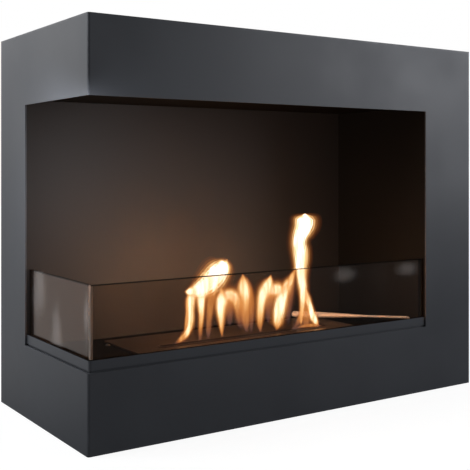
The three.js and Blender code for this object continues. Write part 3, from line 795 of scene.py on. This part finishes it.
@dataclass(frozen=True)
class BlackLiner:
    """The black sheets round the fire, with the glass holders and stops. The ceiling and the right wall are
    darkened with painted shade, and the back wall carries a painted warm glow.
    """

    wall_paint: PowderCoat = PowderCoat(
        "liner_stove_paint", (0.0255, 0.0238, 0.0232), shine=0.3, grain=900.0, dust=0.1,
        centre=LINER_CENTRE, half_size=LINER_HALF_SIZE,
        # Painted warm glow: the flames' light painted on the back wall.
        heat=PaintedWarmGlow((0.045, 0.03, 0.02), (-0.08, 0.0495, 0.17), (1.0, 0.6, 1.2), 0.16, strength=0.5),
    )
    # Painted shade: the ceiling is the liner's stove paint made five times darker.
    ceiling_painted_shade: PowderCoat = PowderCoat(
        "ceiling_shade_paint", (0.005, 0.0046, 0.0042), shine=0.05, grain=900.0,
        centre=LINER_CENTRE, half_size=LINER_HALF_SIZE,
    )
    # Near-black: the glass holders' and stops' own black, and painted shade on the liner's right wall, five
    # times darker than the back wall's paint.
    wall_shade_and_bracket_black: PowderCoat = PowderCoat("bracket_black_and_wall_shade", (0.005, 0.0045, 0.004), shine=0.15)
    dark_parts: tuple[str, ...] = (
        "liner_right_wall", "glass_stop_front", "glass_stop_side", "glass_holder_right", "glass_holder_rear",
    )

    def build(self, nodes: Nodes, effects: Effects) -> None:
        """Dresses the liner.

        Args:
            nodes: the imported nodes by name.
            effects: the shared effects.
        """
        dress(nodes["liner_back_wall"], self.wall_paint.build(effects))
        dress(nodes["liner_ceiling"], self.ceiling_painted_shade.build(effects))
        # Painted shade on the right wall, and the brackets' own black.
        dark = self.wall_shade_and_bracket_black.build(effects)
        for name in self.dark_parts:
            dress(nodes[name], dark)


@dataclass(frozen=True)
class Glazing:
    """The two loose panes and the strips that they stand on."""

    front: ClearGlass = ClearGlass(
        "toughened_glass_front", (0.86, 0.76, 0.67), (-0.04285, -0.1297, 0.1369), (0.25135, 0.002, 0.0476),
        shine=0.1, smears=0.02, smudged=0.35,
        smudges=(
            ((0.185, -0.1317, 0.172), (1.0, 1.0, 2.0), 0.028),
            ((0.07, -0.1317, 0.172), (1.0, 1.0, 2.4), 0.03),
        ),
    )
    side: ClearGlass = ClearGlass(
        # The side pane's darker, warmer colour and warm reflection tint are painted warm light of the flames,
        # beyond the glass's own bronze.
        "side_glass_painted_warm", (0.7, 0.56, 0.48), (-0.2922, -0.0407, 0.1369), (0.002, 0.0867, 0.0476),
        shine=0.05, smears=0.0, tint=(1.0, 0.72, 0.58),
        smudges=(
            ((-0.2942, 0.018, 0.168), (1.0, 1.9, 1.0), 0.056),
            ((-0.2942, -0.037, 0.117), (1.0, 2.6, 1.0), 0.056),
            ((-0.2942, -0.121, 0.15), (1.0, 4.0, 1.0), 0.04),
        ),
    )
    rubber: SeatRubber = SeatRubber("seat_silicone", (0.012, 0.012, 0.012))

    def build(self, nodes: Nodes, effects: Effects) -> None:
        """Dresses the glazing.

        Args:
            nodes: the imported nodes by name.
            effects: the shared effects.
        """
        rubber = self.rubber.build()
        dress(nodes["glass_front"], self.front.build(effects))
        dress(nodes["glass_side"], self.side.build(effects))
        for name in ("glass_seat_front", "glass_seat_side"):
            dress(nodes[name], rubber)


@dataclass(frozen=True)
class BurnerMetal:
    """The burner's plate, collar, tank, wool, shutter and hook, with the brackets and screws."""

    plate_coat: PowderCoat = PowderCoat(
        "burner_coating", (0.016, 0.011, 0.008), shine=0.25, roughness=0.42, grain=900.0, dust=0.03, edge=0.5,
        centre=(-0.03465, -0.03865, 0.0), half_size=(0.17065, 0.061, 0.09),
        # Painted warm glow: the flames' light painted on the plate round the slot.
        heat=PaintedWarmGlow((0.03, 0.02, 0.014), (-0.0414, -0.0537, 0.09), (1.0, 4.0, 1.0), 0.17),
    )
    steel: BrushedSteel = BrushedSteel("brushed_steel", (0.62, 0.6, 0.57), (0.5, 0.34, 0.24), 0.42)
    scorched: BrushedSteel = BrushedSteel("heat_darkened_steel", (0.17, 0.14, 0.12), (0.12, 0.08, 0.06), 0.34)
    blackened: ZincSheet = ZincSheet("blackened_zinc", (0.1, 0.09, 0.085))
    blasted: BrushedSteel = BrushedSteel("blasted_steel", (0.8, 0.76, 0.72), (0.7, 0.62, 0.56), 0.5, 0.35)
    zinc: ZincSheet = ZincSheet("zinc_coated_sheet", (0.5, 0.52, 0.54))
    wool: CeramicFibre = CeramicFibre("ceramic_wool", (0.82, 0.8, 0.76))

    def build(self, nodes: Nodes, slots: dict[str, str], effects: Effects) -> None:
        """Dresses every node whose slot in the record has a finish here, then the collar, hook and screws.

        Args:
            nodes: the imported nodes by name.
            slots: each node's material slot.
            effects: the shared effects.
        """
        finishes = {
            "burner_paint": self.plate_coat, "stainless": self.steel, "zinc_sheet": self.zinc,
            "ceramic_fibre": self.wool,
        }
        built = {slot: finish.build(effects) for slot, finish in finishes.items()}
        for name, slot in sorted(slots.items()):
            if slot in built:
                dress(nodes[name], built[slot])
        dress(nodes["closing_hook"], self.blasted.build(effects))
        dress(nodes["slot_collar"], self.scorched.build(effects))
        blackened = self.blackened.build(effects)
        for name in sorted(nodes):
            if name.startswith("hanger_screw"):
                dress(nodes[name], blackened)


# --- flames ---


@dataclass(frozen=True)
class Tongue:
    """One tongue of flame, in millimetres.

    Stations along its middle line are (x, z, half width, heat). The shift is how far it stands behind the
    slot's middle, and the cap is the share of its length that each rounded end takes.
    """

    stations: tuple[tuple[float, float, float, float], ...]
    shift: float = 0.0
    cap: float = 0.12


FLAME_LEFT_TONGUES = (
    Tongue((  # head, blown over to the right
        (-131, 156, 1, 1), (-119, 155, 10, 1), (-106, 158, 17, 1), (-91, 166, 21.5, 1), (-77, 177, 20, 1),
        (-69, 186, 14, 1), (-65, 193, 5, 0.8),
    ), cap=0.06),
    Tongue((  # its foot
        (-147, 91, 1, 0.15), (-140, 94, 3.5, 0.4), (-131, 100, 6, 0.65), (-124, 108, 6, 0.85),
        (-121.5, 118, 6, 0.9), (-121, 132, 6.5, 0.9), (-120, 146, 8, 0.95), (-115, 158, 4, 1),
    )),
    Tongue((  # thin tongue in the foot
        (-131, 90, 1, 0.2), (-128, 100, 3, 0.35), (-127, 112, 3.5, 0.5), (-125, 128, 4, 0.6),
        (-124, 144, 4, 0.7), (-121, 156, 2, 0.7),
    ), shift=2.0),
    Tongue((  # under the head's middle
        (-107, 89, 1, 0.15), (-106.5, 98, 3.6, 0.35), (-106, 110, 4.6, 0.55), (-105, 124, 6, 0.7),
        (-105, 138, 8, 0.85), (-104, 152, 8, 0.95), (-103, 160, 3, 1),
    ), shift=1.5),
    Tongue((  # dim, under the head's end
        (-94, 89, 1, 0.1), (-93, 100, 5, 0.28), (-92.5, 118, 7, 0.42), (-90, 135, 10, 0.5),
        (-87, 150, 10, 0.5), (-84, 162, 3, 0.4),
    ), shift=3.0),
)
FLAME_MIDDLE_TONGUES = (
    Tongue((  # first peak
        (-74, 91, 1, 0.3), (-74.5, 104, 4.5, 0.6), (-75.5, 118, 8, 0.75), (-76, 132, 11, 0.85),
        (-74, 144, 11.5, 0.85), (-75, 153, 5, 0.6), (-76.5, 159, 1, 0.4),
    )),
    Tongue((  # its arch
        (-80, 136, 2, 0.4), (-71, 144, 10, 0.7), (-61, 146, 12, 0.8), (-53, 140, 12.5, 0.7),
        (-47, 128, 12, 0.5), (-45, 112, 9, 0.35), (-45, 98, 3, 0.15),
    ), shift=1.0),
    Tongue((  # dim hollow under the arch
        (-60, 104, 2, 0.15), (-60, 118, 8, 0.3), (-61, 134, 11, 0.42), (-61, 146, 8, 0.4),
        (-60, 154, 1, 0.2),
    ), shift=3.0),
    Tongue((  # second peak
        (-36, 93, 2, 0.15), (-37, 108, 9, 0.4), (-38, 122, 12, 0.5), (-39, 136, 13.5, 0.65),
        (-40, 150, 13.5, 0.85), (-41.5, 163, 9, 0.7), (-43, 174, 1, 0.4),
    ), shift=-1.0),
    Tongue((  # its dim side
        (-27, 92, 2, 0.15), (-26, 112, 6, 0.35), (-26, 130, 7, 0.48), (-28, 146, 7, 0.5),
        (-31, 158, 5, 0.4), (-34, 168, 1, 0.3),
    ), shift=2.0),
    Tongue((  # third peak
        (-13, 91, 2, 0.25), (-14, 106, 7, 0.5), (-13.5, 122, 9.5, 0.7), (-10.5, 138, 12, 0.85),
        (-4, 150, 12.5, 0.85), (1.5, 160, 8.5, 0.75), (4.5, 169, 1, 0.5),
    )),
    Tongue((  # its arch
        (-8, 144, 2, 0.5), (4, 147, 12, 0.75), (16, 147, 13, 0.8), (27, 143, 10, 0.7), (33, 139, 1, 0.5),
    ), shift=1.5),
    Tongue((  # dim hollow under the arch
        (2, 102, 2, 0.15), (2, 118, 8, 0.3), (4, 134, 11, 0.42), (7, 148, 9, 0.45), (10, 158, 1, 0.2),
    ), shift=3.0),
    Tongue((  # fourth peak, leaning right
        (13, 91, 2, 0.3), (15, 98, 9, 0.65), (16, 110, 12.5, 0.85), (19, 124, 14, 0.9),
        (24, 138, 13.5, 0.9), (31, 150, 11.5, 0.8), (38, 160, 8, 0.65), (47, 175, 2, 0.5),
    )),
    Tongue((  # dim, beside the tall flame
        (36, 96, 1, 0.1), (36, 112, 6, 0.22), (38, 130, 8, 0.3), (42, 146, 7, 0.35), (47, 160, 3, 0.3),
    ), shift=3.0),
)
FLAME_RIGHT_TONGUES = (
    Tongue((  # tall flame with a curled head
        (55, 92, 1, 0.3), (56, 106, 4.4, 0.7), (57.5, 120, 5.6, 0.9), (59, 134, 7.5, 1), (59, 146, 9.4, 1),
        (57, 160, 10.4, 1), (56, 174, 12.4, 1), (56, 186, 14.6, 1), (55.5, 197, 15.6, 1), (54, 208, 15, 1),
        (55.5, 218, 15.6, 1), (60, 227, 18.5, 1), (62.5, 234, 21, 1), (63.5, 241, 21, 1),
        (63.5, 248.5, 18, 1),
    ), cap=0.04),
    Tongue((  # its right foot
        (60, 150, 2, 0.8), (64, 136, 6, 0.85), (69, 122, 6, 0.9), (74, 109, 7, 0.9), (79, 100, 7, 0.85),
        (84, 94, 4, 0.5), (88, 91, 1, 0.2),
    ), shift=-1.0),
    Tongue((  # its left foot
        (60, 126, 1, 0.5), (56, 112, 5, 0.5), (52, 102, 5.5, 0.4), (45, 94, 4, 0.25), (40, 90, 1, 0.15),
    ), shift=1.0),
    Tongue((  # haze between its feet
        (66, 132, 1, 0.4), (66, 116, 7, 0.5), (66, 103, 9, 0.45), (66, 93, 6, 0.3), (66, 90, 2, 0.15),
    ), shift=2.0),
    Tongue((  # low flames along the slot
        (40, 91.5, 1, 0.15), (56, 94, 3, 0.4), (72, 94, 3.5, 0.5), (90, 91.5, 1, 0.25),
    ), shift=-2.0),
)


@dataclass(frozen=True)
class Flames:
    """The flames over the burner's slot. Each tongue is a stack of closed shells, one inside the other.

    Lengths are in millimetres. The depth is a share of the width. Ripples run round each shell and turn by
    twist radians a millimetre along it.
    """

    slot_line: float = -53.65
    steps: int = 40
    sides: int = 18
    shells: tuple[float, ...] = (1.34, 1.14, 0.96, 0.78, 0.6, 0.42)
    depth: float = 0.6
    largest_depth: float = 10.0
    thinnest: float = 0.3
    inset: float = 0.35
    ripple: float = 0.05
    ripples: float = 3.0
    twist: float = 0.11
    groups: tuple[tuple[str, tuple[Tongue, ...]], ...] = (
        ("flame_left", FLAME_LEFT_TONGUES),
        ("flame_middle", FLAME_MIDDLE_TONGUES),
        ("flame_right", FLAME_RIGHT_TONGUES),
    )

    def shell(self, tongue: Tongue, size: float) -> tuple[np.ndarray, np.ndarray]:
        """One closed shell of a tongue.

        A smooth curve runs through the stations. At each step an ellipse stands across it: its wide axis lies
        across the curve in the slot's upright plane, its narrow axis points from front to back. Both ends
        shrink to a point.

        Args:
            tongue: the tongue.
            size: the shell's share of the full width.

        Returns:
            Points on a (steps, sides) grid, and the heat at each step.
        """
        stations = np.array(tongue.stations, float)
        along = np.concatenate([[0.0], np.cumsum(np.hypot(*np.diff(stations[:, :2], axis=0).T))])
        fine = np.linspace(0.0, along[-1], self.steps)
        x, z, width, heat = (smooth(fine, along, stations[:, i]) for i in range(4))
        end = (1.0 - size) * self.inset * np.max(width)
        share = np.clip(np.minimum(fine - end, along[-1] - end - fine) / (tongue.cap * along[-1]), 0.0, 1.0)
        width = np.maximum(width, self.thinnest) * size * np.sqrt(share * (2.0 - share))
        slope = np.hypot(np.gradient(x, fine), np.gradient(z, fine))
        across = np.stack([-np.gradient(z, fine) / slope, np.gradient(x, fine) / slope])
        angle = np.linspace(0.0, 2.0 * math.pi, self.sides, endpoint=False)
        ripple = 1.0 + self.ripple * np.sin(self.ripples * angle + fine[:, None] * self.twist)
        wide = width[:, None] * np.cos(angle) * ripple
        deep = np.minimum(width * self.depth, self.largest_depth)[:, None] * np.sin(angle) * ripple
        points = np.stack([
            x[:, None] + across[0][:, None] * wide,
            self.slot_line + tongue.shift + deep,
            z[:, None] + across[1][:, None] * wide,
        ], axis=-1)
        return points * MM, np.clip(heat, 0.0, 1.0)

    def build(self) -> None:
        """Makes the flames and lets them ride on the burner."""
        glow = FlameGlow().build()
        last = len(self.shells) - 1
        for name, tongues in self.groups:
            shells = [self.shell(tongue, size) for tongue in tongues for size in self.shells]
            flame = tubes(name, [points for points, _ in shells])
            depths = [i / last for _ in tongues for i in range(len(self.shells))]
            core = np.repeat(depths, self.steps * self.sides)
            heat = np.concatenate([np.repeat(heat, self.sides) for _, heat in shells])
            for key, values in (("flame_core", core), ("flame_heat", heat)):
                attribute = flame.data.attributes.new(key, "FLOAT", "POINT")
                attribute.data.foreach_set("value", values.astype(np.float32))
            flame.data.materials.append(glow)
            flame.visible_shadow = False
            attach(flame, "burner_unit")
            log.info("%s: %d shells", name, len(shells))


def smooth(at: np.ndarray, along: np.ndarray, values: np.ndarray) -> np.ndarray:
    """A cubic curve through given values, with slopes taken from each value's two neighbours.

    Args:
        at: where to read it.
        along: the places of the values, rising.
        values: the values.

    Returns:
        The curve at those places.
    """
    slopes = np.gradient(values, along)
    i = np.clip(np.searchsorted(along, at, side="right") - 1, 0, len(along) - 2)
    span = along[i + 1] - along[i]
    t = (at - along[i]) / span
    rise = t * t * (3.0 - 2.0 * t)
    start, end = t * (1.0 - t) ** 2, t * t * (t - 1.0)
    return values[i] * (1.0 - rise) + values[i + 1] * rise + span * (slopes[i] * start + slopes[i + 1] * end)


def tubes(name: str, grids: list[np.ndarray]) -> Thing:
    """A mesh of closed tubes, each a grid of points with its rings along the first axis.

    Quads join each ring to the next and each side to its neighbour, and one many-sided face closes each end.

    Args:
        name: the object's name.
        grids: arrays of shape (rings, sides, 3), all of one size.

    Returns:
        The object, linked to the scene.
    """
    rings, sides = grids[0].shape[:2]
    ring, side = np.meshgrid(np.arange(rings - 1), np.arange(sides), indexing="ij")
    after = (side + 1) % sides
    low, high = ring * sides, (ring + 1) * sides
    quads = np.stack([low + side, low + after, high + after, high + side], axis=-1).reshape(-1, 4)
    ends = [np.arange(sides)[::-1], np.arange(sides) + (rings - 1) * sides]
    faces = []
    for i in range(len(grids)):
        faces += (quads + i * rings * sides).tolist()
        faces += [(end + i * rings * sides).tolist() for end in ends]
    mesh = bpy.data.meshes.new(name)
    mesh.from_pydata(np.concatenate([grid.reshape(-1, 3) for grid in grids]).tolist(), [], faces)
    mesh.polygons.foreach_set("use_smooth", np.ones(len(mesh.polygons), bool))
    mesh.update()
    return link(name, mesh)


# --- studio ---


@dataclass(frozen=True)
class Lamp:
    """A soft rectangular lamp that faces a point. Gloss shows it where it is mirrored."""

    name: str
    place: Point
    target: Point
    size: tuple[float, float]
    watts: float
    colour: Colour = (1.0, 1.0, 1.0)
    spread: float = 180.0
    mirrored: bool = True

    def build(self) -> None:
        """Makes the lamp."""
        data = bpy.data.lights.new(self.name, "AREA")
        data.shape, data.size, data.size_y = "RECTANGLE", self.size[0], self.size[1]
        data.energy, data.color, data.spread = self.watts, self.colour, math.radians(self.spread)
        lamp = link(self.name, data)
        aim(lamp, self.place, self.target)
        lamp.visible_camera = False
        lamp.visible_glossy = lamp.visible_transmission = self.mirrored


@dataclass(frozen=True)
class Glow:
    """The flames' own warm light: a small round lamp."""

    name: str
    place: Point
    radius: float
    watts: float
    colour: Colour = (1.0, 0.47, 0.19)

    def build(self) -> Thing:
        """Makes the lamp.

        Returns:
            The lamp's object.
        """
        data = bpy.data.lights.new(self.name, "POINT")
        data.energy, data.color, data.shadow_soft_size = self.watts, self.colour, self.radius
        lamp = link(self.name, data)
        lamp.location = self.place
        lamp.visible_camera = lamp.visible_transmission = False
        return lamp


def aim(thing: Thing, place: Point, target: Point) -> None:
    """Puts a lamp in its place, facing a point.

    Args:
        thing: the lamp.
        place: where it stands.
        target: the point it faces.
    """
    line = np.array(target, float) - np.array(place, float)
    flat = math.hypot(line[0], line[1])
    thing.location = place
    thing.rotation_euler = (math.atan2(flat, -line[2]), 0.0, math.atan2(-line[0], line[1]))


@dataclass(frozen=True)
class Studio:
    """White backdrop, pale floor, soft lamps and the camera.

    What gloss shows runs from dark in front of the object to mirrored behind it, dimmer at the horizon. The
    tilt turns the line between the two, and sideways are the gains at the right and left.
    """

    camera_place: Point = (-0.7010, -1.0175, 0.3126)
    camera_turn: float = -33.832
    sensor: float = 36.0
    focal: float = 67.97
    shift: tuple[float, float] = (0.0028, -0.1442)
    fill: float = 0.18
    dark: float = 0.02
    mirrored: float = 1.3
    horizon: float = 0.35
    sideways: tuple[float, float] = (0.84, 1.4)
    tilt: float = 0.6
    floor_side: float = 12.0
    floor_height: float = -0.5 * MM
    floor_mirrored: float = 0.35
    floor_levels: tuple[float, float] = (0.92, 1.0)
    floor_reach: tuple[float, float] = (0.8, 2.4)
    floor_tone: Colour = (0.18, 0.18, 0.18)
    floor_gloss_tone: Colour = (0.04, 0.04, 0.04)
    floor_bounce: Colour = (0.2, 0.2, 0.2)
    lamps: tuple[Lamp, ...] = (
        Lamp(
            "softbox_left", place=(-1.25, 0.35, 1.15), target=(-0.3, 0.0, 0.36), size=(0.6, 0.7),
            watts=7.0, colour=(0.92, 0.97, 1.05),
        ),
        Lamp(
            "softbox_right", place=(1.38, -1.25, 0.72), target=(0.26, -0.1375, 0.37), size=(0.9, 0.9),
            watts=9.3, colour=(0.95, 0.97, 1.03),
        ),
        Lamp(
            "softbox_opening", place=(-0.36, -0.12, 0.3), target=(-0.09, 0.05, 0.27), size=(0.14, 0.18),
            watts=0.31, colour=(0.96, 0.98, 1.03), spread=96.0, mirrored=False,
        ),
        Lamp("softbox_top", place=(0.0, 0.3, 1.6), target=(0.0, 0.0, 0.48), size=(1.2, 0.9), watts=8.0),
    )
    glows: tuple[Glow, ...] = (
        Glow("glow_left", (-0.09, -0.0536, 0.17), 0.02, 1.0),
        Glow("glow_right", (0.045, -0.0536, 0.16), 0.02, 0.25),
        Glow("glow_foot", (0.085, -0.055, 0.104), 0.008, 0.02),
    )

    def build(self) -> None:
        """Builds the camera, world, floor and lamps."""
        self.camera()
        self.world()
        self.floor()
        for lamp in self.lamps:
            lamp.build()
            log.info("%s", lamp.name)
        for glow in self.glows:
            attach(glow.build(), "burner_unit")
            log.info("%s", glow.name)

    def camera(self) -> None:
        """Stands the level camera where the photograph was taken, with the frame shifted down."""
        data = bpy.data.cameras.new("camera")
        data.sensor_width, data.lens = self.sensor, self.focal
        data.shift_x, data.shift_y = self.shift
        data.clip_start, data.clip_end = 0.01, 100.0
        camera = link("camera", data)
        camera.location = self.camera_place
        camera.rotation_euler = (math.pi / 2.0, 0.0, math.radians(self.camera_turn))
        bpy.context.scene.camera = camera

    def world(self) -> None:
        """White where the camera looks and behind the object, dim in front of it, with a plain fill."""
        world = bpy.data.worlds.new("studio")
        g = emptied(world)
        bpy.context.scene.world = world
        x, y, z = g.separate(g.add("TexCoord").outputs["Generated"])[:3]
        path = g.add("LightPath").outputs
        behind = g.remap(g.math("SUBTRACT", y, g.math("MULTIPLY", x, self.tilt)), -0.3, 0.9)
        high = g.remap(z, -0.05, 0.22, self.horizon, self.mirrored)
        high = g.math("MULTIPLY", high, g.remap(x, -0.3, -0.46, *self.sideways))
        behind = g.math("ADD", self.dark, g.math("MULTIPLY", behind, g.math("SUBTRACT", high, self.dark)))
        seen = g.math("MAXIMUM", path["Is Camera Ray"], path["Is Transmission Ray"])
        more = g.math("SUBTRACT", behind, self.fill)
        level = g.math("ADD", self.fill, g.math("MULTIPLY", path["Is Glossy Ray"], more))
        level = g.math("ADD", level, g.math("MULTIPLY", seen, g.math("SUBTRACT", 1.0, level)))
        sky = g.add("Background", {"Color": (1.0, 1.0, 1.0), "Strength": level})
        g.add("OutputWorld", {"Surface": sky.outputs[0]})

    def floor(self) -> None:
        """A pale floor that looks white and still shows the object's shadow."""
        half = self.floor_side / 2.0
        signs = ((-1, -1), (1, -1), (1, 1), (-1, 1))
        mesh = bpy.data.meshes.new("floor")
        points = [(across * half, back * half, self.floor_height) for across, back in signs]
        mesh.from_pydata(points, [], [(0, 1, 2, 3)])
        floor = link("floor", mesh)
        material = bpy.data.materials.new("pale_floor")
        g = emptied(material)
        path = g.add("LightPath").outputs
        x, y = g.separate(g.add("TexCoord").outputs["Object"])[:2]
        through = g.math("MAXIMUM", path["Is Glossy Ray"], path["Is Transmission Ray"])
        seen = g.math("MAXIMUM", path["Is Camera Ray"], through)
        behind = g.math("SUBTRACT", y, g.math("MULTIPLY", x, self.tilt))
        behind = g.remap(behind, -0.2, 0.8, self.dark, self.floor_mirrored)
        away = g.math("SQRT", g.math("ADD", g.math("MULTIPLY", x, x), g.math("MULTIPLY", y, y)))
        bright = g.remap(away, *self.floor_reach, *self.floor_levels)
        more = g.math("SUBTRACT", behind, bright)
        level = g.math("ADD", bright, g.math("MULTIPLY", path["Is Glossy Ray"], more))
        plain = g.add("BsdfDiffuse", {"Color": self.floor_bounce})
        tone = g.blend(path["Is Glossy Ray"], self.floor_tone, self.floor_gloss_tone)
        shadowed = g.add("BsdfDiffuse", {"Color": tone})
        white = g.add("Emission", {"Color": (1.0, 1.0, 1.0), "Strength": level})
        pale = g.add("AddShader", {0: shadowed.outputs[0], 1: white.outputs[0]})
        mixed = g.add("MixShader", {0: seen, 1: plain.outputs[0], 2: pale.outputs[0]})
        g.add("OutputMaterial", {"Surface": mixed.outputs[0]})
        mesh.materials.append(material)


def main() -> None:
    """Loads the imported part, dresses it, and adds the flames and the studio."""
    logging.basicConfig(level=logging.INFO, format="%(name)s: %(message)s")
    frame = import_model()
    nodes = frame["nodes"]
    slots = {part["node"]: part["material_slot"] for part in frame["record"]["subparts"]}
    effects = Effects()
    PaintedCasing().build(nodes, effects)
    BlackLiner().build(nodes, effects)
    Glazing().build(nodes, effects)
    BurnerMetal().build(nodes, slots, effects)
    Flames().build()
    Studio().build()
    scene = bpy.context.scene
    scene.view_settings.view_transform = "Standard"
    scene.cycles.transparent_max_bounces = 64


if __name__ == "__main__":
    main()
